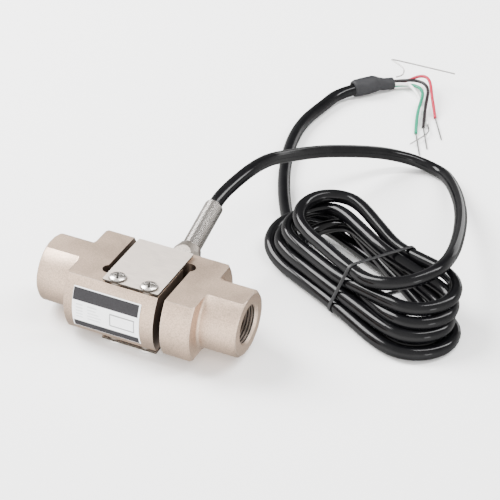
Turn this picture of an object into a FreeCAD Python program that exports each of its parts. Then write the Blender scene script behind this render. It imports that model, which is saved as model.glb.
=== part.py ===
import FreeCAD, Part
import math
import os
from FreeCAD import Vector

# Round-bar load cell for tension and compression, with its covers, gauges, gland and cable.
# Millimetres. X runs along the load axis, Y towards the cable, Z up. The origin is the middle of the bar.

# Spring element: a stepped round bar with two flats along its whole length
body_dia = 50.0
body_len = 64.5
overall_len = 102.4
boss_dia = 32.4
across_flats = 29.6
body_chamfer = 1.0
boss_chamfer = 1.2
boss_root_fillet = 1.5

# End threads, M20 x 1.5, bored at their minor diameter
thread_minor_dia = 18.4
thread_depth = 22.0
countersink_depth = 1.1
drill_point_angle = 118.0

# Two keyhole slots that fold the load path into an S
slot_offset = 16.0
slot_width = 3.6
slot_reach = 9.2
keyhole_dia = 6.6

# Gauge pockets above and below a thin web
pocket_dia = 23.0
web_thickness = 3.6
crossover_dia = 2.0
crossover_from_wall = 2.5

# Cover plates, carried on two washers and a gasket
cover_thickness = 0.8
cover_side_inset = 0.05
cover_front_inset = 0.0
cover_rear_inset = 2.1
cover_corner = 0.7
spacer_height = 1.0
spacer_dia = 7.0
spacer_bore = 4.3
gasket_inset = 0.8
gasket_clearance = 0.3

# Cover screws, M4 pan head, modelled at the core of the thread
screw_spacing = 16.0
screw_from_front = 3.7
screw_core_dia = 3.2
screw_thread_len = 7.0
screw_end_gap = 1.5
screw_head_dia = 7.8
screw_head_rim = 0.9
screw_head_height = 2.4
recess_len = 4.2
recess_width = 0.9
recess_depth = 1.4
tapped_clearance = 0.05
cover_hole_dia = 4.5

# Gauges, terminal board, sealant
gauge_side = 8.0
gauge_thickness = 0.2
board_len = 9.4
board_width = 3.4
board_thickness = 1.6
board_side_margin = 0.9
board_wall_gap = 0.3
board_gap = 1.2
sealant_depth = 6.0
bond_clearance = 0.05

# Gland, set radially in the rear of the middle block
gland_x = 7.0
gland_tilt = 19.5
gland_height = 8.2
gland_rim = 1.8
gland_across_flats = 14.0
gland_nose_wall = 0.8
spot_face_dia = 16.6
spot_face_depth = 1.4
stub_dia = 7.2
stub_len = 7.6
port_clearance = 0.05
port_end_gap = 0.5
cable_seat_depth = 7.8
seal_seat_depth = 7.0
seal_len = 5.0
seal_clearance = 0.05

# Spring guard: close-wound wire, seated in the gland
guard_wire = 0.8
guard_clearance = 0.55
guard_len = 30.3
guard_end_round = 0.7

# Nameplate foil on the front of the bar
plate_thickness = 0.1
plate_adhesive = 0.12
plate_left = -27.0
plate_right = 7.4
plate_top_angle = 25.0
plate_bottom_angle = -27.0

# Cable
cable_dia = 6.6
floor_gap = 0.1
exit_run = 8.0
arc_share = 0.45
inner_lead_dia = 0.7
inner_lead_gap = 0.1
channel_clearance = 0.2

# Hank, in its own frame: along the runs, across them and up from the surface
hank_place = Vector(70.2, 55.1, 0.0)
hank_turn = -30.0
hank_base_left = -66.5
hank_base_right = 61.3
hank_base_near = -4.1
hank_base_far = 44.0
hank_top_left = -54.0
hank_top_right = 51.0
hank_top_near = 6.0
hank_top_far = 48.3
hank_height = 26.0
hank_near_height = 24.0
hole_left = -42.2
hole_right = 42.0
hole_near = 14.0
hole_far = 28.0
tie_width = 1.8
tie_thickness = 1.0

# Stripped end
shrink_len = 27.6
shrink_turn = 49.0
shrink_thick_len = 14.0
shrink_wall = 1.2
shrink_cover = 13.0
shrink_approach = 7.5
shrink_clearance = 0.05
core_dia = 1.8
core_gap = 0.06
core_approach = 6.0
tip_dia = 0.7
drain_dia = 0.8
drain_approach = 3.5

# Values worked out from the sizes above
body_radius = body_dia / 2
boss_radius = boss_dia / 2
flat_height = across_flats / 2
flat_half_width = math.sqrt(body_radius ** 2 - flat_height ** 2)
block_half = slot_offset - slot_width / 2
cover_half = block_half - cover_side_inset
cover_front = -(flat_half_width - cover_front_inset)
cover_rear = flat_half_width - cover_rear_inset
screw_y = cover_front + screw_from_front
cover_base = flat_height + spacer_height
cover_top = cover_base + cover_thickness
floor_z = -(cover_top + screw_head_height)
web_top = web_thickness / 2
pocket_radius = pocket_dia / 2
gland_cos = math.cos(math.radians(gland_tilt))
gland_sin = math.sin(math.radians(gland_tilt))
gland_seat = body_radius - spot_face_depth
gland_end = gland_seat + gland_height
cable_stop = gland_end - cable_seat_depth
seal_start = gland_end - seal_seat_depth
guard_start = seal_start + seal_len
guard_end = guard_start + guard_len
guard_dia = cable_dia + 2 * (guard_clearance + guard_wire)
cable_bore = cable_dia + 2 * seal_clearance
seal_bore = guard_dia + 2 * seal_clearance
inner_lead_pitch = inner_lead_dia + inner_lead_gap
channel_dia = inner_lead_pitch * math.sqrt(2) + inner_lead_dia + 2 * channel_clearance
board_right = gland_x + board_side_margin
board_rear = math.sqrt(pocket_radius ** 2 - board_right ** 2) - board_wall_gap
board_front = board_rear - board_width
gauge_rear = board_front - board_gap
channel_start = board_rear / gland_cos
core_pitch = core_dia + core_gap
core_bore = core_pitch * math.sqrt(2) + core_dia + 2 * shrink_clearance
shrink_bore = cable_dia + 2 * shrink_clearance
shrink_dia = shrink_bore + 2 * shrink_wall
shrink_end_dia = core_bore + 2 * shrink_wall
drain_rise = (core_bore + shrink_end_dia) / 4
cable_z = floor_z + cable_dia / 2 + floor_gap
shrink_z = floor_z + shrink_dia / 2 + floor_gap
core_z = floor_z + core_dia / 2 + floor_gap
tip_z = floor_z + tip_dia / 2 + floor_gap

X_AXIS = Vector(1, 0, 0)
Z_AXIS = Vector(0, 0, 1)
GLAND_AXIS = Vector(0, gland_cos, gland_sin)


def along_gland(distance):
    """Point on the gland's axis at a distance from the load axis."""
    return Vector(gland_x, 0, 0) + GLAND_AXIS * distance


# Cable routes: hand-chosen points, with the height of the lying stretches taken from the cable itself
lead_points = [
    along_gland(cable_stop),
    along_gland(guard_end + exit_run),
    Vector(13.4, 97.0, 25.8),
    Vector(18.5, 124.0, 16.4),
    Vector(25.0, 145.0, 9.6),
    Vector(34.0, 163.0, 3.2),
    Vector(44.5, 182.8, -4.8),
    Vector(53.0, 193.6, -10.2),
    Vector(62.0, 199.0, -13.8),
    Vector(72.8, 198.6, cable_z),
    Vector(82.0, 192.4, -14.6),
    Vector(94.9, 168.9, -9.1),
    Vector(106.0, 141.1, -2.3),
    Vector(114.3, 111.4, 4.4),
    Vector(119.6, 84.4, 10.3),
    Vector(118.9, 65.0, 12.3),
    Vector(109.0, 51.5, 10.2),
    Vector(92.0, 48.5, 6.6),
    Vector(78.0, 58.0, 3.0),
]
shrink_start = Vector(1.9, 257.6, shrink_z)
SHRINK_AXIS = Vector(math.cos(math.radians(shrink_turn)), math.sin(math.radians(shrink_turn)), 0)
shrink_end = shrink_start + SHRINK_AXIS * shrink_len
tail_points = [
    Vector(47.0, 84.0, cable_z),
    Vector(30.0, 102.5, cable_z),
    Vector(15.1, 128.0, cable_z),
    Vector(2.4, 157.0, cable_z),
    Vector(-6.5, 187.0, cable_z),
    Vector(-9.5, 212.0, cable_z),
    Vector(-6.5, 233.5, cable_z),
    shrink_start - SHRINK_AXIS * shrink_approach,
    shrink_start + SHRINK_AXIS * shrink_cover,
]

# Cores, from the sleeve's mouth to the end of their insulation
core_routes = {
    "core_red": [(31.5, 288.0, -10.6), (38.5, 284.0, -9.4), (44.6, 270.5, -12.6), (49.3, 262.0, -16.4),
                 (52.5, 255.5, core_z)],
    "core_black": [(33.5, 285.0, -12.6), (40.0, 279.0, -12.8), (43.6, 264.0, -15.0), (47.3, 251.5, -16.0),
                   (50.3, 242.0, core_z)],
    "core_green": [(33.5, 281.8, -13.8), (38.3, 275.0, -14.2), (40.6, 262.0, -15.4), (44.3, 247.0, -17.2),
                   (48.9, 233.8, core_z)],
    "core_white": [(34.5, 277.2, -16.6), (40.0, 268.0, core_z), (45.8, 257.5, core_z), (51.5, 246.0, core_z)],
}

# Where each core lies in the sleeve, as (towards the front, up)
core_sides = {
    "core_red": (-1, 1),
    "core_black": (-1, -1),
    "core_green": (1, 1),
    "core_white": (1, -1),
}

# Bare tinned tips, from the insulation on; the white core's tip lies across two others
tip_routes = {
    "core_red": [(63.5, 235.0, tip_z)],
    "core_black": [(60.0, 221.5, tip_z)],
    "core_green": [(58.5, 213.6, tip_z)],
    "core_white": [(55.8, 236.5, -16.9), (50.5, 220.4, -17.4)],
}
drain_points = [
    Vector(22.8, 284.5, -10.4),
    Vector(19.8, 287.8, -9.0),
    Vector(12.0, 291.2, -8.6),
    Vector(12.0, 292.6, -8.6),
    Vector(50.6, 291.0, -7.4),
]


def box(x0, x1, y0, y1, z0, z1):
    """Solid box between two corners."""
    return Part.makeBox(x1 - x0, y1 - y0, z1 - z0, Vector(x0, y0, z0))


def rod(dia, start, axis, length):
    """Solid cylinder from a point along an axis."""
    return Part.makeCylinder(dia / 2, length, start, axis)


def revolved(points, axis):
    """Solid from an outline of (along, radius) points turned about X or Z."""
    if axis == X_AXIS:
        corners = [Vector(along, radius, 0) for along, radius in points]
    else:
        corners = [Vector(radius, 0, along) for along, radius in points]
    face = Part.Face(Part.makePolygon(corners + corners[:1]))
    return face.revolve(Vector(0, 0, 0), axis, 360)


def on_gland(shape):
    """Moves a shape built along Z to the gland's axis."""
    turn = FreeCAD.Rotation(X_AXIS, gland_tilt - 90)
    shape.Placement = FreeCAD.Placement(Vector(gland_x, 0, 0), turn)
    return shape


def flipped(shape):
    """The same shape on the lower flat, mirrored in the middle plane."""
    return shape.mirror(Vector(0, 0, 0), Z_AXIS)


def rounded_path(points):
    """Straight runs joined by tangent arcs, each as large as its two runs allow."""
    edges = []
    radii = []
    here = points[0]
    for before, corner, after in zip(points, points[1:], points[2:]):
        back = (before - corner).normalize()
        ahead = (after - corner).normalize()
        turn = math.pi - back.getAngle(ahead)
        reach = arc_share * min((corner - before).Length, (after - corner).Length)
        radius = reach / math.tan(turn / 2)
        middle = (back + ahead).normalize()
        centre = corner + middle * (radius / math.cos(turn / 2))
        start = corner + back * reach
        end = corner + ahead * reach
        edges.append(Part.LineSegment(here, start).toShape())
        edges.append(Part.Arc(start, centre - middle * radius, end).toShape())
        radii.append(round(radius, 1))
        here = end
    edges.append(Part.LineSegment(here, points[-1]).toShape())
    return Part.Wire(edges), radii


def swept(points, dia):
    """Round tube along a rounded path, and the path's radii and length."""
    path, radii = rounded_path(points)
    ring = Part.Circle(points[0], points[1] - points[0], dia / 2).toShape()
    tube = path.makePipeShell([Part.Wire(ring)], True, False)
    share = tube.Volume / (math.pi * dia ** 2 / 4 * path.Length)
    print(f"length {path.Length:.1f} volume share {share:.4f} radii {radii}")
    return tube


def bar_outline():
    """Half section of the bar: chamfered rims, and a fillet where each boss meets its shoulder."""
    half = body_len / 2
    end = overall_len / 2
    fillet = boss_root_fillet
    cut = fillet * (1 - math.cos(math.radians(45)))
    side = [
        (half - body_chamfer, body_radius),
        (half, body_radius - body_chamfer),
        (half, boss_radius + fillet),
        (half + fillet, boss_radius),
        (end - boss_chamfer, boss_radius),
        (end, boss_radius - boss_chamfer),
        (end, 0),
    ]
    edges = []
    for sign in (1, -1):
        corners = [Vector(sign * x, r, 0) for x, r in side]
        arc_middle = Vector(sign * (half + cut), boss_radius + cut, 0)
        for index, (start, stop) in enumerate(zip(corners, corners[1:])):
            if index == 2:
                edges.append(Part.Arc(start, arc_middle, stop).toShape())
            else:
                edges.append(Part.LineSegment(start, stop).toShape())
    rim_left = Vector(-half + body_chamfer, body_radius, 0)
    rim_right = Vector(half - body_chamfer, body_radius, 0)
    edges.append(Part.LineSegment(rim_left, rim_right).toShape())
    edges.append(Part.LineSegment(Vector(-end, 0, 0), Vector(end, 0, 0)).toShape())
    return Part.Wire(Part.__sortEdges__(edges))


def end_bore():
    """Cutter for the right-hand threaded end: countersink, bore and drill point."""
    end = overall_len / 2
    bore = thread_minor_dia / 2
    floor = end - thread_depth
    tip = floor - bore / math.tan(math.radians(drill_point_angle / 2))
    sink = bore + countersink_depth
    return revolved([(tip, 0), (floor, bore), (end - countersink_depth, bore), (end, sink), (end, 0)], X_AXIS)


def keyhole_slot():
    """Cutter for the right-hand slot, open at the front and ending in a round hole."""
    reach = body_dia
    slot = box(slot_offset - slot_width / 2, slot_offset + slot_width / 2, -reach, slot_reach, -reach, reach)
    hole = rod(keyhole_dia, Vector(slot_offset, slot_reach, -reach), Z_AXIS, 2 * reach)
    return slot.fuse(hole)


def screw_places():
    """Middles of the two cover screws."""
    return [Vector(side * screw_spacing / 2, screw_y, 0) for side in (-1, 1)]


def gland_port():
    """Cutter for the spot face, tapped port and wire channel of the gland."""
    port_start = gland_seat - stub_len - port_end_gap
    face = rod(spot_face_dia, Vector(0, 0, gland_seat), Z_AXIS, body_radius)
    port = rod(stub_dia + 2 * port_clearance, Vector(0, 0, port_start), Z_AXIS, body_radius)
    channel = rod(channel_dia, Vector(0, 0, channel_start), Z_AXIS, gland_seat - channel_start)
    return on_gland(face.fuse([port, channel]).removeSplitter())


def spring_element():
    bar = Part.Face(bar_outline()).revolve(Vector(0, 0, 0), X_AXIS, 360)
    span = overall_len
    bar = bar.common(box(-span, span, -span, span, -flat_height, flat_height))
    pocket = rod(pocket_dia, Vector(0, 0, web_top), Z_AXIS, flat_height)
    cutters = [pocket, flipped(pocket), gland_port()]
    crossover = Vector(0, crossover_from_wall - pocket_radius, -web_thickness)
    cutters.append(rod(crossover_dia, crossover, Z_AXIS, 2 * web_thickness))
    for cutter in (end_bore(), keyhole_slot()):
        opposite = cutter.copy()
        opposite.rotate(Vector(0, 0, 0), Z_AXIS, 180)
        cutters += [cutter, opposite]
    depth = screw_thread_len + screw_end_gap
    tapped_dia = screw_core_dia + 2 * tapped_clearance
    for place in screw_places():
        hole = rod(tapped_dia, place + Vector(0, 0, flat_height - depth), Z_AXIS, depth)
        cutters += [hole, flipped(hole)]
    return bar.cut(cutters).removeSplitter()


def cover():
    plate = box(-cover_half, cover_half, cover_front, cover_rear, cover_base, cover_top)
    upright = [edge for edge in plate.Edges if edge.BoundBox.ZLength > cover_thickness / 2]
    plate = plate.makeFillet(cover_corner, upright)
    return plate.cut([rod(cover_hole_dia, place, Z_AXIS, 2 * cover_top) for place in screw_places()])


def gasket():
    """Frame between cover and flat, open over the pocket and notched round the washers."""
    half = cover_half - gasket_inset
    sheet = box(-half, half, cover_front + gasket_inset, cover_rear - gasket_inset, flat_height, cover_base)
    notch_dia = spacer_dia + 2 * gasket_clearance
    cutters = [rod(pocket_dia, Vector(0, 0, 0), Z_AXIS, cover_top)]
    for place in screw_places():
        cutters.append(rod(notch_dia, place, Z_AXIS, cover_top))
        edge = cover_front - spacer_dia
        cutters.append(box(place.x - notch_dia / 2, place.x + notch_dia / 2, edge, place.y, 0, cover_top))
    return sheet.cut(cutters)


def spacers():
    rings = []
    for place in screw_places():
        ring = rod(spacer_dia, place + Vector(0, 0, flat_height), Z_AXIS, spacer_height)
        rings.append(ring.cut(rod(spacer_bore, place, Z_AXIS, cover_top)))
    return Part.Compound(rings)


def pan_head_screw():
    """One screw with a domed head, the head's underside at the origin and the shank downwards."""
    rise = screw_head_height - screw_head_rim
    dome_radius = ((screw_head_dia / 2) ** 2 + rise ** 2) / (2 * rise)
    dome = Part.makeSphere(dome_radius, Vector(0, 0, screw_head_height - dome_radius))
    head = rod(screw_head_dia, Vector(0, 0, 0), Z_AXIS, screw_head_height).common(dome)
    shank_len = cover_thickness + spacer_height + screw_thread_len
    screw = head.fuse(rod(screw_core_dia, Vector(0, 0, -shank_len), Z_AXIS, shank_len))
    half = recess_len / 2
    wide = recess_width / 2
    floor = screw_head_height - recess_depth
    cross = box(-half, half, -wide, wide, floor, screw_head_height)
    cross = cross.fuse(box(-wide, wide, -half, half, floor, screw_head_height))
    return screw.cut(cross).removeSplitter()


def cover_screws():
    screws = []
    for place in screw_places():
        screw = pan_head_screw()
        screw.translate(place + Vector(0, 0, cover_top))
        screws.append(screw)
    return Part.Compound(screws)


def gauge():
    """Shear rosette film on the web."""
    half = gauge_side / 2
    return box(-half, half, gauge_rear - gauge_side, gauge_rear, web_top, web_top + gauge_thickness)


def terminal_board():
    left = board_right - board_len
    return box(left, board_right, board_front, board_rear, web_top, web_top + board_thickness)


def inner_leads(board):
    """Four wires from the end of the cable, through the channel, to the edge of the board."""
    up = GLAND_AXIS.cross(X_AXIS)
    wires = []
    for column in (-1, 1):
        for row in (-1, 1):
            shift = (X_AXIS * column + up * row) * (inner_lead_pitch / 2)
            reach = cable_stop - channel_start + inner_lead_dia / 2
            wire = rod(inner_lead_dia, along_gland(cable_stop) + shift, -GLAND_AXIS, reach)
            wires.append(max(wire.cut(board).Solids, key=lambda solid: solid.Volume))
    return Part.Compound(wires)


def sealant(inside):
    """Silicone over what lies on the web of one pocket."""
    fill = rod(pocket_dia - 2 * bond_clearance, Vector(0, 0, web_top), Z_AXIS, sealant_depth)
    return fill.cut(inside)


def cable_gland():
    """Low hexagon turned to a cone, with a threaded stub and a stepped bore."""
    corner = gland_across_flats / math.sqrt(3)
    turns = [math.radians(60 * k) for k in range(6)]
    ring = [Vector(corner * math.cos(a), corner * math.sin(a), gland_seat) for a in turns]
    hexagon = Part.Face(Part.makePolygon(ring + ring[:1])).extrude(Vector(0, 0, gland_end - gland_seat))
    nose = seal_bore / 2 + gland_nose_wall
    rim = gland_seat + gland_rim
    outline = [(gland_seat, 0), (gland_seat, corner), (rim, corner), (gland_end, nose), (gland_end, 0)]
    body = hexagon.common(revolved(outline, Z_AXIS))
    body = body.fuse(rod(stub_dia, Vector(0, 0, gland_seat - stub_len), Z_AXIS, stub_len))
    lead_hole = rod(channel_dia, Vector(0, 0, 0), Z_AXIS, gland_end)
    cable_hole = rod(cable_bore, Vector(0, 0, cable_stop), Z_AXIS, gland_end)
    seat = rod(seal_bore, Vector(0, 0, seal_start), Z_AXIS, gland_end)
    return on_gland(body.cut([lead_hole, cable_hole, seat]).removeSplitter())


def cable_seal():
    """Rubber sleeve between gland and cable."""
    outer = rod(guard_dia, Vector(0, 0, seal_start), Z_AXIS, seal_len)
    inner = rod(cable_bore, Vector(0, 0, seal_start), Z_AXIS, seal_len)
    return on_gland(outer.cut(inner))


def spring_guard():
    """Close-wound guard as a sleeve with a rounded free end."""
    sleeve = rod(guard_dia, Vector(0, 0, guard_start), Z_AXIS, guard_len)
    middle = guard_start + guard_len / 2
    rim = [edge for edge in sleeve.Edges if edge.Closed and edge.BoundBox.ZMin > middle]
    sleeve = sleeve.makeFillet(guard_end_round, rim)
    bore = rod(guard_dia - 2 * guard_wire, Vector(0, 0, guard_start), Z_AXIS, guard_len)
    return on_gland(sleeve.cut(bore))


def nameplate():
    """Thin foil that follows the round of the bar."""
    outer = body_radius + plate_adhesive + plate_thickness
    strip = Part.makePlane(plate_right - plate_left, plate_thickness, Vector(plate_left, -outer, 0))
    strip.rotate(Vector(0, 0, 0), X_AXIS, -plate_top_angle)
    return strip.revolve(Vector(0, 0, 0), X_AXIS, plate_top_angle - plate_bottom_angle)


def stadium(left, right, near, far, height):
    """Closed outline of two straight runs and two round ends."""
    radius = (far - near) / 2
    middle = (far + near) / 2
    corners = [Vector(left + radius, near, height), Vector(right - radius, near, height),
               Vector(right - radius, far, height), Vector(left + radius, far, height)]
    right_end = Part.Arc(corners[1], Vector(right, middle, height), corners[2]).toShape()
    left_end = Part.Arc(corners[3], Vector(left, middle, height), corners[0]).toShape()
    near_run = Part.LineSegment(corners[0], corners[1]).toShape()
    far_run = Part.LineSegment(corners[2], corners[3]).toShape()
    return Part.Wire([near_run, right_end, far_run, left_end])


def hank_frame(shape):
    """Moves a shape from the hank's frame to its place on the surface."""
    place = Vector(hank_place.x, hank_place.y, floor_z + floor_gap)
    shape.Placement = FreeCAD.Placement(place, FreeCAD.Rotation(Z_AXIS, hank_turn))
    return shape


def hank_section():
    """Outline of the tied hank across its middle, as (across, up) points."""
    lean = (hank_top_near - hank_base_near) / hank_height
    near_top = hank_base_near + lean * hank_near_height
    return [
        (hank_base_near, 0),
        (hank_base_far, 0),
        (hank_top_far, hank_height),
        (hank_top_far - cable_dia * 2, hank_height),
        (near_top, hank_near_height),
    ]


def hank_tie():
    """Strap pulled round the whole hank at its middle."""
    corners = [Vector(-tie_width / 2, across, up) for across, up in hank_section()]
    outline = Part.makePolygon(corners + corners[:1])
    inside = outline.makeOffset2D(-tie_thickness)
    band = Part.Face(outline).cut(Part.Face(inside))
    return band.extrude(Vector(tie_width, 0, 0))


def hank_bundle(tie):
    """Outer form of the wound turns: leaning walls round a narrow opening, lower in front."""
    base = stadium(hank_base_left, hank_base_right, hank_base_near, hank_base_far, 0)
    top = stadium(hank_top_left, hank_top_right, hank_top_near, hank_top_far, hank_height)
    form = Part.makeLoft([base, top], True, True)
    high = Vector(0, 0, hank_height)
    hole = Part.Face(stadium(hole_left, hole_right, hole_near, hole_far, 0)).extrude(high)
    section = hank_section()
    span = hank_base_right - hank_base_left
    front = Vector(-span, hank_base_near - hank_height, hank_near_height)
    slope = [front] + [Vector(-span, across, up) for across, up in (section[4], section[3])]
    above = [slope[2] + high, front + high]
    wedge = Part.Face(Part.makePolygon(slope + above + [front]))
    return form.cut([hole, wedge.extrude(Vector(2 * span, 0, 0)), tie])


def cable_run(points, hank):
    """Cable along a route, ending face to face on the hank."""
    pieces = swept(points, cable_dia).cut(hank).Solids
    return max(pieces, key=lambda solid: solid.Volume)


def heat_shrink():
    """Sleeve over the end of the jacket, drawn in over the cores."""
    outer = shrink_dia / 2
    mouth = shrink_end_dia / 2
    drawn = shrink_thick_len + (shrink_dia - shrink_end_dia)
    form = revolved([(0, 0), (0, outer), (shrink_thick_len, outer), (drawn, mouth), (shrink_len, mouth),
                     (shrink_len, 0)], Z_AXIS)
    jacket = rod(shrink_bore, Vector(0, 0, 0), Z_AXIS, shrink_cover)
    cores = rod(core_bore, Vector(0, 0, 0), Z_AXIS, shrink_len)
    sleeve = form.cut([jacket, cores])
    turn = FreeCAD.Rotation(Z_AXIS, SHRINK_AXIS)
    sleeve.Placement = FreeCAD.Placement(shrink_start, turn)
    return sleeve


def core_mouth(name, distance):
    """Middle of a core at a distance along the sleeve."""
    column, row = core_sides[name]
    shift = (SHRINK_AXIS.cross(Z_AXIS) * column + Z_AXIS * row) * (core_pitch / 2)
    return shrink_start + SHRINK_AXIS * distance + shift


def core(name):
    """Insulated core, from the end of the jacket to where its insulation is cut."""
    held = [core_mouth(name, shrink_cover), core_mouth(name, shrink_len + core_approach)]
    free = [Vector(*point) for point in core_routes[name]]
    return swept(held + free, core_dia)


def core_tip(name, insulation):
    """Bare tinned end, from the cut insulation to where it lies."""
    route = [Vector(*core_routes[name][-1])] + [Vector(*point) for point in tip_routes[name]]
    return swept(route, tip_dia).cut(insulation)


def drain_wire():
    """Bare screen wire, from the rim of the sleeve's mouth, folded back."""
    start = shrink_end + Z_AXIS * drain_rise
    return swept([start, start + SHRINK_AXIS * drain_approach] + drain_points, drain_dia)


def build():
    tie = hank_tie()
    bundle = hank_bundle(tie)
    hank_frame(tie)
    hank_frame(bundle)
    top_gauge = gauge()
    board = terminal_board()
    leads = inner_leads(board)
    nodes = {
        "spring_element": spring_element(),
        "top_cover": cover(),
        "top_gasket": gasket(),
        "top_cover_spacers": spacers(),
        "top_cover_screws": cover_screws(),
        "top_gauge": top_gauge,
        "terminal_board": board,
        "inner_leads": leads,
        "top_sealant": sealant([top_gauge, board] + leads.Solids),
        "bottom_sealant": flipped(sealant([top_gauge])),
        "cable_gland": cable_gland(),
        "cable_seal": cable_seal(),
        "spring_guard": spring_guard(),
        "nameplate": nameplate(),
        "cable_lead": cable_run(lead_points, [bundle, tie]),
        "cable_hank": bundle,
        "cable_tail": cable_run(tail_points, [bundle, tie]),
        "hank_tie": tie,
        "heat_shrink": heat_shrink(),
        "drain_wire": drain_wire(),
    }
    for name in ("cover", "gasket", "cover_spacers", "cover_screws", "gauge"):
        nodes["bottom_" + name] = flipped(nodes["top_" + name])
    for name in core_routes:
        nodes[name] = core(name)
    nodes["core_tips"] = Part.Compound([core_tip(name, nodes[name]) for name in core_routes])
    return nodes


os.makedirs("parts", exist_ok=True)
for node, shape in build().items():
    print(node, len(shape.Solids), round(shape.Volume, 1), shape.isValid())
    shape.exportStep("parts/" + node + ".step")
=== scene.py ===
import math

import bpy
import bmesh
from mathutils import Matrix, Vector, noise


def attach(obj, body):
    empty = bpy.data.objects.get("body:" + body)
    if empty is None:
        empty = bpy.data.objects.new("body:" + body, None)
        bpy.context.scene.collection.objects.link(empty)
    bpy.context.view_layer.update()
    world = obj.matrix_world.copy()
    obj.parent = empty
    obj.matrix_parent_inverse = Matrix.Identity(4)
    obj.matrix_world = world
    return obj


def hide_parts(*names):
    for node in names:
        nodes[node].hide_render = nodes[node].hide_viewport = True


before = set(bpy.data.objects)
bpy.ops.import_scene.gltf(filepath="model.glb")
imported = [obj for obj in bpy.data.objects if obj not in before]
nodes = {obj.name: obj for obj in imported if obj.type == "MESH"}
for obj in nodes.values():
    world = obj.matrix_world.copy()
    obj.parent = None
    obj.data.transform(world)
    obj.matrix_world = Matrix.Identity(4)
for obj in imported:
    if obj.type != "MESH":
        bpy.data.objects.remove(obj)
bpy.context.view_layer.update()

# A millimetre in metres, and the way up
MM = 0.001
UP = Vector((0, 0, 1))

# Sizes repeated from the part's source, in millimetres
FLOOR = -19.0
FLOOR_GAP = 0.1
CABLE_DIA = 6.6
CABLE_Z = -15.6
GLAND_X = 7.0
GLAND_TILT = math.radians(19.5)
GLAND_AXIS = Vector((0, math.cos(GLAND_TILT), math.sin(GLAND_TILT)))
CABLE_STOP = 24.0
GUARD_START = 29.8
GUARD_END = 60.1
GUARD_DIA = 9.3
GUARD_WIRE = 0.8
BORE_RADIUS = 9.2
BAR_END = 51.2
SCREW_X = 8.0
SCREW_Y = -16.45
SCREW_SEAT = 16.6
SHANK_RADIUS = 1.6
SHANK_LEN = 8.8
SLOT_X = 16.0
KEYHOLE_Y = 9.2
LABEL_LEFT = -27.0
LABEL_RIGHT = 7.4
LABEL_LOW = math.radians(-27.0)
LABEL_HIGH = math.radians(25.0)
SHRINK_START = Vector((1.9, 257.6, -14.35))
SHRINK_TURN = math.radians(49.0)
SHRINK_AXIS = Vector((math.cos(SHRINK_TURN), math.sin(SHRINK_TURN), 0))
SHRINK_LEN = 27.6
SHRINK_COVER = 13.0
SHRINK_APPROACH = 7.5
CORE_DIA = 1.8
CORE_PITCH = 1.86
CORE_Z = -18.0
CORE_APPROACH = 6.0
DRAIN_DIA = 0.8
DRAIN_RISE = 2.87
DRAIN_APPROACH = 3.5


def along_gland(distance):
    """Point on the gland's axis at a distance from the load axis."""
    return Vector((GLAND_X, 0, 0)) + GLAND_AXIS * distance


# Helpers for procedural materials
NOISE_LOW = 0.3
NOISE_HIGH = 0.7
EDGE_START = 0.995
EDGE_FULL = 0.86


class Tree:
    """Short calls for the nodes of a material or of the world."""

    def __init__(self, tree):
        self.tree = tree

    def fill(self, socket, value):
        """Links a socket to another one, or sets its value."""
        if isinstance(value, bpy.types.NodeSocket):
            self.tree.links.new(value, socket)
        else:
            socket.default_value = value

    def add(self, kind, inputs=None, **settings):
        """A new node with its settings and inputs."""
        node = self.tree.nodes.new(kind)
        for key, value in settings.items():
            setattr(node, key, value)
        for key, value in (inputs or {}).items():
            self.fill(node.inputs[key], value)
        return node

    def split(self, vector):
        """X, Y and Z of a vector."""
        return self.add("ShaderNodeSeparateXYZ", {0: vector}).outputs

    def math(self, operation, first, second=0.0):
        return self.add("ShaderNodeMath", {0: first, 1: second}, operation=operation).outputs[0]

    def times(self, first, second):
        return self.math("MULTIPLY", first, second)

    def size(self, value):
        return self.math("ABSOLUTE", value)

    def under(self, value, limit):
        """1 where a value is under a limit, else 0."""
        return self.math("LESS_THAN", value, limit)

    def distance(self, first, second):
        """Length of the diagonal over two lengths."""
        squares = [self.math("POWER", value, 2.0) for value in (first, second)]
        return self.math("SQRT", self.math("ADD", *squares))

    def between(self, value, low, high, to_low=0.0, to_high=1.0):
        """Value moved from one range to another, and held inside it."""
        limits = {"Value": value, "From Min": low, "From Max": high, "To Min": to_low, "To Max": to_high}
        return self.add("ShaderNodeMapRange", limits).outputs["Result"]


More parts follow.
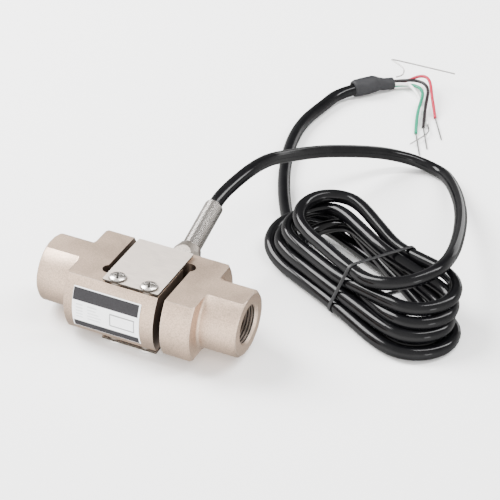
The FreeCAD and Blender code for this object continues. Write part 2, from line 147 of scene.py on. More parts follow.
class Finish(Tree):
    """A material with one Principled shader, and calls for the detail on it."""

    def __init__(self, name, colour, metallic=0.0, roughness=0.5, **sockets):
        self.material = bpy.data.materials.new(name)
        self.material.use_nodes = True
        super().__init__(self.material.node_tree)
        self.shader = self.tree.nodes["Principled BSDF"]
        self.put("Base Color", (*colour, 1.0))
        self.put("Metallic", metallic)
        self.put("Roughness", roughness)
        for socket, value in sockets.items():
            self.put(socket.replace("_", " "), value)
        self.where = self.add("ShaderNodeTexCoord").outputs["Object"]

    def put(self, socket, value):
        """Fills a socket of the shader."""
        self.fill(self.shader.inputs[socket], value)

    def stretched(self, scale):
        """Object coordinates, scaled along each axis."""
        return self.add("ShaderNodeMapping", {"Vector": self.where, "Scale": scale}).outputs["Vector"]

    def facing(self):
        """X, Y and Z of the surface's normal."""
        return self.split(self.add("ShaderNodeNewGeometry").outputs["Normal"])

    def noise(self, vector, scale, detail=3.0, roughness=0.5):
        values = {"Vector": vector, "Scale": scale, "Detail": detail, "Roughness": roughness}
        return self.add("ShaderNodeTexNoise", values).outputs["Fac"]

    def uneven(self, pattern, low=0.0, high=1.0):
        """The usual range of a noise, moved to another one."""
        return self.between(pattern, NOISE_LOW, NOISE_HIGH, low, high)

    def colours(self, share, first, second):
        """Mix of two colours, each of them a tuple or a socket."""
        ends = {"Factor": share}
        for key, value in (("A", first), ("B", second)):
            ends[key] = value if isinstance(value, bpy.types.NodeSocket) else (*value, 1.0)
        return self.add("ShaderNodeMix", ends, data_type="RGBA").outputs["Result"]

    def bump(self, height, distance, strength=1.0, base=None):
        """Normal of a relief so many millimetres high, on its own or on top of another one."""
        values = {"Height": height, "Distance": distance * MM, "Strength": strength}
        if base is not None:
            values["Normal"] = base
        return self.add("ShaderNodeBump", values).outputs["Normal"]

    def edges(self, radius):
        """Mask that is 1 on edges, as wide as a radius in millimetres, and 0 on open faces."""
        rounded = self.add("ShaderNodeBevel", {"Radius": radius * MM}, samples=6).outputs["Normal"]
        plain = self.add("ShaderNodeNewGeometry").outputs["Normal"]
        match = self.add("ShaderNodeVectorMath", {0: rounded, 1: plain}, operation="DOT_PRODUCT")
        return self.between(match.outputs["Value"], EDGE_START, EDGE_FULL)


# Reach of the masks on the bar, the covers and the screws, in millimetres
THREAD_MASK = 10.12
THREAD_MASK_DEPTH = 0.9
GROOVE_MASK = (9.25, 9.7)
KEYHOLE_MASK = 3.45
SLOT_MASK = 2.1
HEAD_SHADE_MASK = (4.0, 4.6)
CROSS_MASK_HALF = 0.52
CROSS_MASK_REACH = 2.4

# Height of the fine relief, and radius of the worn edges that also carry a painted highlight, in millimetres
SPECK_RELIEF = 0.04
CUT_RELIEF = 0.03
LINE_RELIEF = 0.01
PLATING_RELIEF = 0.01
WAVE_RELIEF = 0.4
SKIN_RELIEF = 0.02
PRINT_RELIEF = 0.02
CLOUD_RELIEF = 0.3
NICKEL_WEAR_AND_HIGHLIGHT_WIDTH = 0.6
PLATE_WEAR_AND_HIGHLIGHT_WIDTH = 0.3
PLATING_WEAR_AND_HIGHLIGHT_WIDTH = 0.25

# Painted tones: edges both worn and lit by a painted highlight, and painted shade in the bores, slots, cut
# edges, screw crosses and round the screw heads
NICKEL_WEAR_AND_HIGHLIGHT = (0.78, 0.72, 0.66)
THREAD_TOP_SHADE = (0.42, 0.35, 0.3)
THREAD_GROOVE_SHADE = (0.07, 0.055, 0.045)
SLOT_SHADE = (0.16, 0.12, 0.095)
PLATE_WEAR_AND_HIGHLIGHT = (0.9, 0.88, 0.86)
PLATE_EDGE_SHADE = (0.05, 0.042, 0.035)
HEAD_SHADE = (0.12, 0.11, 0.10)
PLATING_WEAR_AND_HIGHLIGHT = (0.92, 0.9, 0.87)
CROSS_SHADE = (0.05, 0.045, 0.04)


def shade(colour, share):
    """A colour made darker or lighter by a share."""
    return tuple(share * part for part in colour)


def thread_masks(look):
    """Masks of the bores behind their countersinks, and of the thread's groove in them."""
    place = look.split(look.where)
    off_load = look.distance(place["Y"], place["Z"])
    behind = look.under(look.size(place["X"]), (BAR_END - THREAD_MASK_DEPTH) * MM)
    bore = look.times(look.under(off_load, THREAD_MASK * MM), behind)
    top, bottom = GROOVE_MASK
    return bore, look.between(off_load, top * MM, bottom * MM)


def slot_mask(look, facing):
    """Mask of the walls of the slots and of the holes that end them."""
    place = look.split(look.where)
    along = look.math("SUBTRACT", look.size(place["X"]), SLOT_X * MM)
    across = look.math("SUBTRACT", look.size(place["Y"]), KEYHOLE_Y * MM)
    in_hole = look.under(look.distance(along, across), KEYHOLE_MASK * MM)
    sideways = look.math("GREATER_THAN", look.size(facing["X"]), 0.8)
    in_slot = look.times(look.under(look.size(along), SLOT_MASK * MM), sideways)
    return look.math("MAXIMUM", in_hole, in_slot)


def nickel(name, light, dark, roughness, grain, slots=False):
    """Satin plated steel: soft tone changes, turned rings, milled grain on the flats, worn edges also
    lightened as a painted highlight; on the bar, painted shade on the flats, in the bores and in the slots.
    """
    look = Finish(name, light, metallic=1.0, roughness=roughness)
    cloud = look.noise(look.where, scale=55.0, detail=4.0, roughness=0.6)
    speck = look.noise(look.where, scale=1500.0, detail=3.0, roughness=0.75)
    tone = look.colours(look.between(cloud, 0.35, 0.65), dark, light)
    tone = look.colours(look.between(speck, 0.42, 0.62, 0.0, 0.85), tone, shade(dark, 0.7))
    facing = look.facing()
    upright = look.size(facing["Z"])
    flat = look.between(upright, 0.97, 0.99)
    # Worn edges, also lightened as a painted highlight
    worn_and_lit = look.edges(NICKEL_WEAR_AND_HIGHLIGHT_WIDTH)
    if slots:
        # Painted shade on the flats: darker than the turned faces, with the milled grain in their tone
        milled_grain_and_shade = look.colours(look.between(speck, 0.4, 0.62), shade(dark, 0.76), shade(dark, 1.08))
        tone = look.colours(look.times(flat, 0.85), tone, milled_grain_and_shade)
        bore, groove = thread_masks(look)
        # Painted shade inside the bores, darkest in the thread's groove
        tone = look.colours(bore, tone, look.colours(groove, THREAD_TOP_SHADE, THREAD_GROOVE_SHADE))
        inside = look.times(slot_mask(look, facing), look.under(upright, 0.3))
        tone = look.colours(look.times(inside, 0.9), tone, SLOT_SHADE)
        worn_and_lit = look.times(worn_and_lit, look.math("SUBTRACT", 1.0, inside))
    look.put("Base Color", look.colours(look.times(worn_and_lit, 0.6), tone, NICKEL_WEAR_AND_HIGHLIGHT))
    rough = look.uneven(cloud, roughness - 0.05, roughness + 0.06)
    look.put("Roughness", look.math("SUBTRACT", rough, look.times(worn_and_lit, 0.1)))
    turned = look.noise(look.stretched((1.0, 0.02, 0.02)), scale=3800.0, detail=2.0)
    milled = look.noise(look.stretched((0.04, 1.0, 0.02)), scale=2600.0, detail=2.0)
    cut = look.add("ShaderNodeMix", {"Factor": flat, "A": turned, "B": milled}).outputs["Result"]
    fine = look.bump(speck, SPECK_RELIEF, grain * 0.6)
    look.put("Normal", look.bump(cut, CUT_RELIEF, grain, fine))
    return look.material


def screw_offsets(look):
    """Distances from the middle of the nearest cover screw, sideways and to the front."""
    place = look.split(look.where)
    side = look.math("SUBTRACT", look.size(place["X"]), SCREW_X * MM)
    front = look.math("SUBTRACT", place["Y"], SCREW_Y * MM)
    return look.size(side), look.size(front)


def brushed(name, light, dark, roughness):
    """Brushed stainless sheet: fine lines along the bar, painted shade round the screws and on the cut edges,
    worn edges also lightened as a painted highlight.
    """
    look = Finish(name, light, metallic=1.0, roughness=roughness)
    lines = look.noise(look.stretched((0.03, 1.0, 0.3)), scale=5200.0, detail=3.0, roughness=0.65)
    broad = look.noise(look.stretched((0.25, 1.0, 1.0)), scale=130.0)
    tone = look.colours(look.between(lines, 0.32, 0.7), dark, light)
    tone = look.colours(look.between(broad, 0.3, 0.75, 0.0, 0.35), tone, light)
    off_screw = look.distance(*screw_offsets(look))
    inner, outer = HEAD_SHADE_MASK
    tone = look.colours(look.between(off_screw, inner * MM, outer * MM, 0.75, 0.0), tone, HEAD_SHADE)
    open_face = look.between(look.size(look.facing()["Z"]), 0.5, 0.8)
    # Worn edges on the open faces, also lightened as a painted highlight
    worn_and_lit = look.times(look.edges(PLATE_WEAR_AND_HIGHLIGHT_WIDTH), open_face)
    tone = look.colours(look.times(worn_and_lit, 0.7), tone, PLATE_WEAR_AND_HIGHLIGHT)
    # Painted shade: the cut edges, which face sideways, are near black
    look.put("Base Color", look.colours(open_face, PLATE_EDGE_SHADE, tone))
    look.put("Roughness", look.between(lines, 0.25, 0.75, roughness - 0.06, roughness + 0.09))
    look.put("Normal", look.bump(lines, LINE_RELIEF, 0.5))
    return look.material


def bright(name, light, dark, roughness, scale=900.0, recess=False):
    """Bright plating with small smudges and edges lightened by wear and a painted highlight; painted shade in
    the cross of a screw.
    """
    look = Finish(name, light, metallic=1.0, roughness=roughness)
    smudge = look.noise(look.where, scale, detail=4.0, roughness=0.6)
    tone = look.colours(look.between(smudge, 0.35, 0.7), light, dark)
    # Worn edges, also lightened as a painted highlight
    tone = look.colours(look.times(look.edges(PLATING_WEAR_AND_HIGHLIGHT_WIDTH), 0.5), tone, PLATING_WEAR_AND_HIGHLIGHT)
    if recess:
        # Painted shade in the cross recess, drawn wider than the recess itself
        offsets = screw_offsets(look)
        narrow = look.under(look.math("MINIMUM", *offsets), CROSS_MASK_HALF * MM)
        short = look.under(look.math("MAXIMUM", *offsets), CROSS_MASK_REACH * MM)
        tone = look.colours(look.times(look.times(narrow, short), 0.9), tone, CROSS_SHADE)
    look.put("Base Color", tone)
    look.put("Roughness", look.uneven(smudge, roughness - 0.04, roughness + 0.08))
    scratches = look.noise(look.where, 4 * scale, detail=2.0)
    look.put("Normal", look.bump(scratches, PLATING_RELIEF, 0.25))
    return look.material


def plastic(name, light, dark, roughness, scale=700.0, waviness=0.35, **sockets):
    """Extruded or moulded plastic: slow waves, fine skin texture and uneven gloss."""
    look = Finish(name, light, roughness=roughness, **sockets)
    slow = look.noise(look.where, scale * 0.16)
    skin = look.noise(look.where, scale * 4.0, roughness=0.6)
    look.put("Base Color", look.colours(look.uneven(slow), dark, light))
    look.put("Roughness", look.uneven(slow, roughness - 0.06, roughness + 0.08))
    waves = look.bump(slow, WAVE_RELIEF, waviness)
    look.put("Normal", look.bump(skin, SKIN_RELIEF, 0.4, waves))
    return look.material


# Print on the label, in shares of its width and height: left, right, low and high edge of each field
LABEL_BANDS = [(0.004, 0.975, 0.70, 0.975), (0.012, 0.985, 0.006, 0.19)]
LABEL_FRAME = [(0.56, 0.93, 0.30, 0.61), (0.575, 0.915, 0.33, 0.58)]
# Rows of blank entries, a short and a long one in each: low edge, and right edge of the long one
LABEL_ROWS = [(0.60, 0.37), (0.525, 0.36), (0.45, 0.40), (0.375, 0.44), (0.30, 0.42)]
ROW_HEIGHT = 0.03
SHORT_ENTRY = (0.06, 0.16)
LONG_ENTRY_START = 0.23
PRINT_SOFTNESS = 0.004


def label_print():
    """White foil with two dark printed bands, rows of blank entries and an empty frame."""
    look = Finish("label_foil", (0.88, 0.89, 0.9), roughness=0.5, Specular_IOR_Level=0.2)
    place = look.split(look.where)
    angle = look.math("ARCTAN2", place["Z"], look.times(place["Y"], -1.0))
    height = look.between(angle, LABEL_LOW, LABEL_HIGH)
    width = look.between(place["X"], LABEL_LEFT * MM, LABEL_RIGHT * MM)

    def edge(value, place):
        return look.between(value, place - PRINT_SOFTNESS, place + PRINT_SOFTNESS)

    def strip(value, low, high):
        return look.math("SUBTRACT", edge(value, low), edge(value, high))

    def field(left, right, low, high):
        return look.times(strip(width, left, right), strip(height, low, high))

    bands = look.math("ADD", *(field(*edges) for edges in LABEL_BANDS))
    frame_line = look.math("SUBTRACT", *(field(*edges) for edges in LABEL_FRAME))
    rows = 0.0
    for low, right in LABEL_ROWS:
        for ends in (SHORT_ENTRY, (LONG_ENTRY_START, right)):
            rows = look.math("ADD", rows, field(*ends, low, low + ROW_HEIGHT))
    speck = look.noise(look.where, scale=1400.0, roughness=0.6)
    white = look.colours(look.uneven(speck), (0.92, 0.93, 0.95), (0.97, 0.98, 0.99))
    grey = look.colours(look.times(rows, 0.4), white, (0.25, 0.26, 0.28))
    ink = look.colours(look.between(speck, 0.35, 0.75), (0.016, 0.015, 0.017), (0.024, 0.023, 0.026))
    marks = look.math("MAXIMUM", bands, look.times(frame_line, 0.8))
    look.put("Base Color", look.colours(marks, grey, ink))
    look.put("Roughness", look.uneven(speck, 0.42, 0.56))
    relief = look.math("ADD", marks, look.times(speck, 0.15))
    look.put("Normal", look.bump(relief, PRINT_RELIEF, 0.6))
    return look.material


def gauge_print():
    """Amber film with fine slanting foil lines."""
    look = Finish("gauge_film", (0.45, 0.2, 0.05), roughness=0.3)
    spacing = {"Vector": look.where, "Scale": 900.0, "Distortion": 0.0}
    wave = look.add("ShaderNodeTexWave", spacing, bands_direction="DIAGONAL")
    lines = look.between(wave.outputs["Fac"], 0.45, 0.55)
    speck = look.noise(look.where, scale=800.0)
    film = look.colours(speck, (0.36, 0.15, 0.03), (0.55, 0.27, 0.07))
    look.put("Base Color", look.colours(look.times(lines, 0.75), film, (0.55, 0.5, 0.45)))
    look.put("Roughness", look.uneven(speck, 0.22, 0.4))
    look.put("Normal", look.bump(lines, LINE_RELIEF, 0.4))
    return look.material


def board_print():
    """Green laminate with rows of tinned pads."""
    look = Finish("board_laminate", (0.03, 0.2, 0.08), roughness=0.45)
    pads = look.add("ShaderNodeTexVoronoi", {"Vector": look.where, "Scale": 640.0, "Randomness": 0.0})
    pad = look.between(pads.outputs["Distance"], 0.3, 0.26)
    weave = look.noise(look.where, scale=3000.0)
    base = look.colours(weave, (0.02, 0.13, 0.05), (0.04, 0.24, 0.1))
    look.put("Base Color", look.colours(pad, base, (0.6, 0.6, 0.58)))
    look.put("Metallic", pad)
    look.put("Normal", look.bump(look.math("ADD", pad, weave), PRINT_RELIEF, 0.5))
    return look.material


def silicone():
    """Cloudy casting silicone."""
    look = Finish("sealant_silicone", (0.75, 0.76, 0.74), roughness=0.3,
                  Subsurface_Weight=0.3, Subsurface_Scale=0.002)
    cloud = look.noise(look.where, scale=300.0, detail=4.0)
    look.put("Base Color", look.colours(cloud, (0.62, 0.64, 0.62), (0.82, 0.83, 0.8)))
    look.put("Roughness", look.uneven(cloud, 0.22, 0.4))
    look.put("Normal", look.bump(cloud, CLOUD_RELIEF, 0.3))
    return look.material


# Materials: a light and a dark tone, roughness, and the scale of the pattern where it isn't the usual one
CORE_SCALE = 1500.0
BODY = nickel("nickel_body", (0.64, 0.475, 0.36), (0.55, 0.417, 0.322), 0.5, grain=1.0, slots=True)
GLAND = nickel("nickel_gland", (0.47, 0.42, 0.37), (0.39, 0.345, 0.305), 0.36, grain=0.3)
PLATE = brushed("stainless_cover", (0.93, 0.83, 0.74), (0.79, 0.70, 0.625), 0.5)
SCREW = bright("nickel_screw", (0.72, 0.68, 0.64), (0.56, 0.53, 0.5), 0.2, recess=True)
SCREW_TOP = bright("nickel_pan_screw", (0.66, 0.62, 0.58), (0.52, 0.49, 0.46), 0.24)
# Dark material as painted shade in the screw recesses and under the heads' rims
RECESS_SHADE = bright("screw_recess_shade", (0.17, 0.16, 0.15), (0.1, 0.095, 0.09), 0.35)
WASHER = bright("zinc_washer", (0.22, 0.19, 0.165), (0.16, 0.14, 0.125), 0.45)
WIRE = bright("steel_guard_wire", (0.27, 0.255, 0.24), (0.23, 0.217, 0.205), 0.2, scale=1500.0)
TINNED = bright("tinned_copper", (0.38, 0.37, 0.36), (0.3, 0.29, 0.28), 0.3, scale=2500.0)
JACKET = plastic("cable_jacket", (0.004, 0.004, 0.0045), (0.002, 0.002, 0.0025), 0.12,
                 waviness=0.05, Specular_IOR_Level=0.15)
RUBBER = plastic("gasket_rubber", (0.006, 0.006, 0.006), (0.004, 0.004, 0.004), 0.6, Specular_IOR_Level=0.2)
STRAP = plastic("tie_nylon", (0.014, 0.014, 0.015), (0.008, 0.008, 0.009), 0.4, Specular_IOR_Level=0.3)
SLEEVE = plastic("shrink_sleeve", (0.019, 0.019, 0.021), (0.012, 0.012, 0.014), 0.62,
                 scale=900.0, waviness=0.6, Specular_IOR_Level=0.25)
RED = plastic("core_red", (0.38, 0.015, 0.045), (0.31, 0.012, 0.034), 0.36,
              scale=CORE_SCALE, Specular_IOR_Level=0.3)
BLACK = plastic("core_black", (0.014, 0.010, 0.011), (0.009, 0.007, 0.008), 0.36,
                scale=CORE_SCALE, Specular_IOR_Level=0.3)
GREEN = plastic("core_green", (0.010, 0.235, 0.135), (0.007, 0.18, 0.10), 0.36,
                scale=CORE_SCALE, Specular_IOR_Level=0.3)
WHITE = plastic("core_white", (0.82, 0.82, 0.80), (0.72, 0.72, 0.71), 0.36, scale=CORE_SCALE)
LABEL = label_print()
FILM = gauge_print()
LAMINATE = board_print()
SILICONE = silicone()
SHARP_ANGLE = math.radians(35.0)


def dress(name, material, bevel=0.0):
    """Gives a CAD node its material, and small rounds on its sharp edges."""
    piece = nodes[name]
    piece.data.materials.clear()
    piece.data.materials.append(material)
    if bevel:
        rounds = piece.modifiers.new("edge_rounds", "BEVEL")
        rounds.width = bevel * MM
        rounds.segments = 2
        rounds.limit_method = "ANGLE"
        rounds.angle_limit = SHARP_ANGLE
        rounds.use_clamp_overlap = True
        rounds.harden_normals = True
    return piece


body = dress("spring_element", BODY, bevel=0.25)
for side in ("top", "bottom"):
    dress(side + "_cover", PLATE, bevel=0.12)
    dress(side + "_cover_screws", SCREW, bevel=0.08)
    dress(side + "_cover_spacers", WASHER, bevel=0.1)
    dress(side + "_gasket", RUBBER, bevel=0.1)
    dress(side + "_gauge", FILM)
    dress(side + "_sealant", SILICONE)
dress("terminal_board", LAMINATE)
dress("inner_leads", TINNED)
dress("cable_gland", GLAND, bevel=0.2)
dress("cable_seal", RUBBER)
dress("nameplate", LABEL)
dress("core_tips", TINNED)


# Helpers for new pieces
CORD_ORDER = 3
CORD_STEPS = 10
CORD_ROUNDING = 6


def add_piece(name, data):
    """Puts a mesh or a curve in the scene, as a piece that rides on the body."""
    piece = bpy.data.objects.new(name, data)
    bpy.context.scene.collection.objects.link(piece)
    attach(piece, "root")
    return piece


def tube_piece(name, tubes, material, joined=False, smooth=True):
    """Skins lists of equal rings of points, in millimetres, with caps or joined end to end."""
    bm = bmesh.new()
    for rings in tubes:
        rows = [[bm.verts.new(Vector(point) * MM) for point in ring] for ring in rings]
        pairs = list(zip(rows, rows[1:])) + ([(rows[-1], rows[0])] if joined else [])
        for lower, upper in pairs:
            for k in range(len(lower)):
                after = (k + 1) % len(lower)
                bm.faces.new((lower[k], lower[after], upper[after], upper[k]))
        if not joined:
            bm.faces.new(rows[0])
            bm.faces.new(rows[-1])
    mesh = bpy.data.meshes.new(name)
    bmesh.ops.recalc_face_normals(bm, faces=bm.faces)
    bm.to_mesh(mesh)
    bm.free()
    mesh.materials.append(material)
    mesh.polygons.foreach_set("use_smooth", [smooth] * len(mesh.polygons))
    return add_piece(name, mesh)


def circle(points):
    """Cosine and sine at evenly spaced points of a circle."""
    angles = [2 * math.pi * k / points for k in range(points)]
    return [(math.cos(angle), math.sin(angle)) for angle in angles]


def cord_curve(name, points, diameter, material):
    """A round cord on one smooth spline, with its route's points as control points."""
    curve = bpy.data.curves.new(name, "CURVE")
    curve.dimensions = "3D"
    spline = curve.splines.new("NURBS")
    spline.points.add(len(points) - 1)
    for control, place in zip(spline.points, points):
        control.co = (*(Vector(place) * MM), 1.0)
    spline.order_u = CORD_ORDER
    spline.use_endpoint_u = True
    spline.resolution_u = CORD_STEPS
    curve.bevel_depth = diameter / 2 * MM
    curve.bevel_resolution = CORD_ROUNDING
    curve.use_fill_caps = True
    curve.materials.append(material)
    return add_piece(name, curve)


def length_of(piece):
    """Length of a cord's line, in metres."""
    plain = piece.copy()
    plain.data = piece.data.copy()
    plain.data.bevel_depth = 0.0
    mesh = bpy.data.meshes.new_from_object(plain)
    spans = [edge.vertices for edge in mesh.edges]
    total = sum((mesh.vertices[a].co - mesh.vertices[b].co).length for a, b in spans)
    bpy.data.meshes.remove(mesh)
    bpy.data.curves.remove(plain.data)
    return total


# The cable: out of the gland, once round the back, five loose turns, and the tail to the sleeve
LEAD_STATIONS = (CABLE_STOP, 44.0, 56.0, 68.1)
lead = [
    *(along_gland(distance) for distance in LEAD_STATIONS),
    (13.4, 97.0, 25.8),
    (18.5, 124.0, 16.4),
    (25.0, 145.0, 9.6),
    (34.0, 163.0, 3.2),
    (44.5, 182.8, -4.8),
    (53.0, 193.6, -10.2),
    (62.0, 199.0, -13.8),
    (72.8, 198.6, CABLE_Z),
    (82.0, 192.4, -14.6),
    (94.9, 168.9, -9.1),
    (106.0, 141.1, -2.3),
    (114.3, 111.4, 4.4),
    (119.6, 84.4, 10.3),
    (118.9, 65.0, 12.3),
    (109.0, 51.5, 10.2),
    (92.0, 48.5, 6.6),
]
tail = [
    (47.0, 84.0, CABLE_Z),
    (30.0, 102.5, CABLE_Z),
    (15.1, 128.0, CABLE_Z),
    (2.4, 157.0, CABLE_Z),
    (-6.5, 187.0, CABLE_Z),
    (-9.5, 212.0, CABLE_Z),
    (-6.5, 233.5, CABLE_Z),
    SHRINK_START - SHRINK_AXIS * SHRINK_APPROACH,
    SHRINK_START + SHRINK_AXIS * SHRINK_COVER,
]

# Each turn of the hank, as (across, up) at the tie and (reach, from, to) with three heights at each end:
# near tie, left end, its heights, far tie, right end, its heights
HANK_PLACE = Vector((70.2, 55.1, FLOOR + FLOOR_GAP))
HANK_TURN = math.radians(-30.0)
TURNS = [
    ((7.9, 22.3), (-50.6, 9.5, 43.0), (22.8, 27.2, 27.6),
     (40.0, 21.2), (49.2, 45.2, 8.4), (22.8, 21.3, 19.8)),
    ((4.9, 16.2), (-53.0, 5.6, 35.8), (16.0, 18.2, 23.0),
     (31.6, 22.4), (52.2, 40.8, 6.8), (16.7, 15.8, 14.4)),
    ((10.4, 10.4), (-45.5, 9.8, 38.0), (10.0, 10.4, 17.0),
     (35.6, 16.3), (54.2, 37.6, 3.1), (10.1, 10.5, 9.9)),
    ((2.4, 10.3), (-56.6, 2.4, 39.6), (9.9, 11.0, 4.4),
     (40.8, 4.2), (58.0, 40.5, -0.8), (3.4, 3.4, 3.4)),
    ((0.5, 4.2), (-63.2, 0.0, 43.5), (3.5, 10.2, 11.2),
     (36.3, 9.7), (51.2, 33.6, 6.0), (3.4, 3.4, 3.4)),
]
HANK_EXIT = (7.4, 4.2)
END_ANGLES = (-90, -54, -18, 18, 54, 90)
END_SWELL = 1.04


def on_hank(along, across, up):
    """Point of the hank's own frame, in the part's frame."""
    run = Vector((math.cos(HANK_TURN), math.sin(HANK_TURN), 0))
    return HANK_PLACE + run * along + Vector((-run.y, run.x, 0)) * across + UP * up


def hank_end(side, end, heights):
    """Control points round one end of a turn."""
    reach, first, last = end
    radius = abs(last - first) / 2
    middle = (first + last) / 2
    way = math.copysign(1, last - first)
    points = []
    for degrees in END_ANGLES:
        angle = math.radians(degrees)
        goal = heights[0] if degrees < 0 else heights[2]
        up = heights[1] + (goal - heights[1]) * abs(degrees) / 90
        swell = END_SWELL if abs(degrees) < 90 else 1.0
        along = reach - side * radius + side * radius * END_SWELL * math.cos(angle)
        points.append((along, middle + way * radius * swell * math.sin(angle), up))
    return points


def halfway(first, second):
    return tuple((a + b) / 2 for a, b in zip(first, second))


hank = []
for index, (near, left, left_up, far, right, right_up) in enumerate(TURNS):
    start = (0.0, *near)
    left_end = hank_end(-1, left, left_up)
    across = (0.0, *far)
    right_end = hank_end(1, right, right_up)
    after = (0.0, *(TURNS[index + 1][0] if index + 1 < len(TURNS) else HANK_EXIT))
    hank += [start, halfway(start, left_end[0]), *left_end, halfway(left_end[-1], across)]
    hank += [across, halfway(across, right_end[0]), *right_end, halfway(right_end[-1], after)]
hank.append((0.0, *HANK_EXIT))
cable = cord_curve("cable", lead + [on_hank(*point) for point in hank] + tail, CABLE_DIA, JACKET)
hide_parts("cable_lead", "cable_hank", "cable_tail")

# Cores and screen wire of the stripped end
SIDE_AXIS = SHRINK_AXIS.cross(UP)
CORE_DROP = 1.5


def core_mouth(column, row, distance):
    """Middle of a core at a distance along the sleeve."""
    shift = (SIDE_AXIS * column + UP * row) * (CORE_PITCH / 2)
    return SHRINK_START + SHRINK_AXIS * distance + shift


# Each core: its place in the jacket, its place past the sleeve, its material and its free run
cores = {
    "core_red": ((-1, -1), (-1, -1), RED, [
        (31.5, 288.0, -11.6), (38.5, 284.0, -10.6), (44.6, 270.5, -13.4), (49.3, 262.0, -16.4),
        (52.5, 255.5, CORE_Z),
    ]),
    "core_black": ((-1, 1), (-1, 1), BLACK, [
        (33.5, 285.0, -13.8), (40.0, 279.0, -14.2), (43.6, 264.0, -15.6), (47.3, 251.5, -16.0),
        (50.3, 242.0, CORE_Z),
    ]),
    "core_green": ((1, -1), (1, -1), GREEN, [
        (33.5, 281.8, -15.8), (38.3, 275.0, -16.2), (40.6, 262.0, -16.6), (44.3, 247.0, -17.2),
        (48.9, 233.8, CORE_Z),
    ]),
    "core_white": ((1, 1), (2.4, 0.35), WHITE, [
        (29.0, 280.2, -16.0), (34.6, 275.6, -17.4), (40.0, 268.0, CORE_Z), (45.8, 257.5, CORE_Z),
        (51.5, 246.0, CORE_Z),
    ]),
}
core_cords = []
for name, (mouth, bend, material, free) in cores.items():
    held = [core_mouth(*mouth, SHRINK_COVER), core_mouth(*bend, SHRINK_LEN + CORE_APPROACH) - UP * CORE_DROP]
    wire = cord_curve("wire_" + name, held + free, CORE_DIA, material)
    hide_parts(name)
    core_cords.append((name, wire, mouth))
rim = SHRINK_START + SHRINK_AXIS * SHRINK_LEN + UP * DRAIN_RISE
drain_route = [
    rim,
    rim + SHRINK_AXIS * DRAIN_APPROACH,
    (22.8, 284.5, -10.4),
    (19.8, 287.8, -9.0),
    (12.0, 291.2, -8.6),
    (12.0, 292.6, -8.6),
    (50.6, 291.0, -7.4),
]
drain = cord_curve("screen_wire", drain_route, DRAIN_DIA, TINNED)
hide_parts("drain_wire")

# Spring guard, wound from round wire, its last turn drawn in
GUARD_STEPS = 28
GUARD_SIDES = 8
GUARD_PRESS = 1.01
GUARD_DRAW = 0.25
GUARD_DRAW_SHARE = 0.03
guard_across = Vector((1, 0, 0))
guard_up = GLAND_AXIS.cross(guard_across)
guard_turns = (GUARD_END - GUARD_START - GUARD_WIRE) / GUARD_WIRE
wire_radius = GUARD_WIRE / 2 * GUARD_PRESS
coil = []
for step in range(int(guard_turns * GUARD_STEPS) + 1):
    turned = step / GUARD_STEPS
    angle = 2 * math.pi * turned
    drawn = max(0.0, (turned / guard_turns - 1 + GUARD_DRAW_SHARE) / GUARD_DRAW_SHARE)
    radius = (GUARD_DIA - GUARD_WIRE) / 2 - GUARD_DRAW * drawn
    out = guard_across * math.cos(angle) + guard_up * math.sin(angle)
    centre = along_gland(GUARD_START + GUARD_WIRE / 2 + GUARD_WIRE * turned) + out * radius
    coil.append([centre + (out * cos + GLAND_AXIS * sin) * wire_radius for cos, sin in circle(GUARD_SIDES)])
guard = tube_piece("guard_spring", [coil], WIRE)
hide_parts("spring_guard")

# Heat-shrink sleeve, drawn in over the cores, with soft wrinkles
# Rows of its skin and of its lining: distance, radius, rise of the middle
SLEEVE_END = 25.6
SLEEVE_DROP = 0.9
SLEEVE_LINE = [
    (0.0, 3.9, 0.1), (0.4, 4.5, 0.3), (2.0, 4.8, 0.4), (6.0, 4.95, 0.6), (10.0, 5.0, 1.0), (12.4, 4.9, 1.2),
    (14.5, 4.4, 0.9), (17.0, 3.85, 0.3), (20.0, 3.55, -0.2), (24.0, 3.45, -SLEEVE_DROP),
    (SLEEVE_END - 0.4, 3.45, -SLEEVE_DROP), (SLEEVE_END - 0.1, 3.37, -SLEEVE_DROP),
    (SLEEVE_END, 3.15, -SLEEVE_DROP),
]
LINING_LINE = [
    (SLEEVE_END, 2.7, -SLEEVE_DROP), (24.4, 2.4, -SLEEVE_DROP), (19.0, 2.35, -0.3),
    (SHRINK_COVER + 0.4, 2.3, 0.0), (SHRINK_COVER + 0.1, 3.34, 0.0), (0.0, 3.36, 0.0),
]
SLEEVE_POINTS = 40
SLEEVE_STEP = 0.6
WRINKLE = 0.3
RIM_WRINKLE = 0.2
WRINKLE_ROUND = 1.6
WRINKLE_ALONG = 0.33


def sleeve_ring(distance, radius, rise, rough):
    """One ring of the sleeve, raised and uneven by as much as asked."""
    middle = SHRINK_START + SHRINK_AXIS * distance + UP * rise
    ring = []
    for cos, sin in circle(SLEEVE_POINTS):
        out = SIDE_AXIS * cos + UP * sin
        wrinkle = noise.noise(Vector((cos * WRINKLE_ROUND, sin * WRINKLE_ROUND, distance * WRINKLE_ALONG)))
        ring.append(middle + out * (radius + rough * wrinkle))
    return ring


skin = []
for before, after in zip(SLEEVE_LINE, SLEEVE_LINE[1:]):
    count = max(1, round((after[0] - before[0]) / SLEEVE_STEP))
    rows = [Vector(before).lerp(Vector(after), k / count) for k in range(count)]
    skin += [sleeve_ring(*row, WRINKLE) for row in rows]
skin.append(sleeve_ring(*SLEEVE_LINE[-1], RIM_WRINKLE))
lining = [sleeve_ring(*row, 0.0) for row in LINING_LINE]
sleeve = tube_piece("shrink_tube", [skin + lining], SLEEVE, joined=True)
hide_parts("heat_shrink")

# Tie slanting round the hank, tight over its outer strands
# Strands at its corners: shift along the hank, across, up
TIE_CORNERS = [(3.5, 0.3, 4.1), (6.0, 40.7, 4.1), (7.5, 41.3, 21.75), (6.5, 7.05, 23.3)]
TIE_HALF = 0.9
TIE_THICKNESS = 0.7
TIE_GAP = CABLE_DIA / 2 + 0.05
TIE_STEPS = 8
